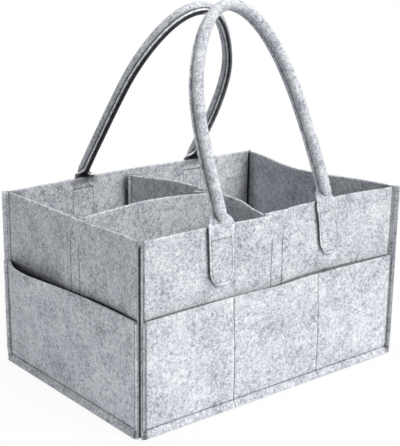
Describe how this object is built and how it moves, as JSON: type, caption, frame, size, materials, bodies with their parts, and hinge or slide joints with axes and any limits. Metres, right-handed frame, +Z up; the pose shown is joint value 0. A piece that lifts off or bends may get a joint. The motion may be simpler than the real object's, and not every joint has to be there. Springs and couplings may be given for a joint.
{
  "type": "diaper caddy",
  "caption": "Open felt storage box with sewn outside pockets, carrying handles rolled round a cord that swing over the rim, and a T-shaped divider that lifts out.",
  "frame": {"origin": "middle of the box's underside, at the bottom of the bounding box", "axes": "+Z up, X along the long walls with the long divider at -X, the front long wall at -Y"},
  "size_m": [0.36, 0.2414, 0.379],
  "materials": {
    "felt": "heathered needle felt",
    "tape": "woven hook-and-loop tape",
    "cord": "soft cotton cord"
  },
  "bodies": {
    "caddy": {"base_panel": "felt", "front_wall": "felt", "right_wall": "felt", "back_wall": "felt", "left_wall": "felt", "front_pocket": "felt", "right_pocket": "felt", "back_pocket": "felt", "left_pocket": "felt", "front_handle_left_tab": "felt", "front_handle_right_tab": "felt", "back_handle_left_tab": "felt", "back_handle_right_tab": "felt", "front_loop_tape": "tape", "back_loop_tape": "tape", "left_loop_tape": "tape"},
    "front_handle": {"front_handle_strap": "felt", "front_handle_core": "cord"},
    "back_handle": {"back_handle_strap": "felt", "back_handle_core": "cord"},
    "divider": {"cross_divider": "felt", "long_divider": "felt", "front_divider_flange": "felt", "back_divider_flange": "felt", "left_divider_flange": "felt", "front_hook_tape": "tape", "back_hook_tape": "tape", "left_hook_tape": "tape"}
  },
  "joints": [
    {"name": "front_handle_swing", "type": "hinge", "parent": "caddy", "child": "front_handle", "pos_m": [0, -0.1158, 0.189], "axis": [1, 0, 0], "range_deg": [-6, 172.5]},
    {"name": "back_handle_swing", "type": "hinge", "parent": "caddy", "child": "back_handle", "pos_m": [0, 0.1158, 0.189], "axis": [-1, 0, 0], "range_deg": [0, 180.5]},
    {"name": "divider_lift", "type": "slide", "parent": "caddy", "child": "divider", "axis": [0, 0, 1], "range_m": [0, 0.16]}
  ]
}
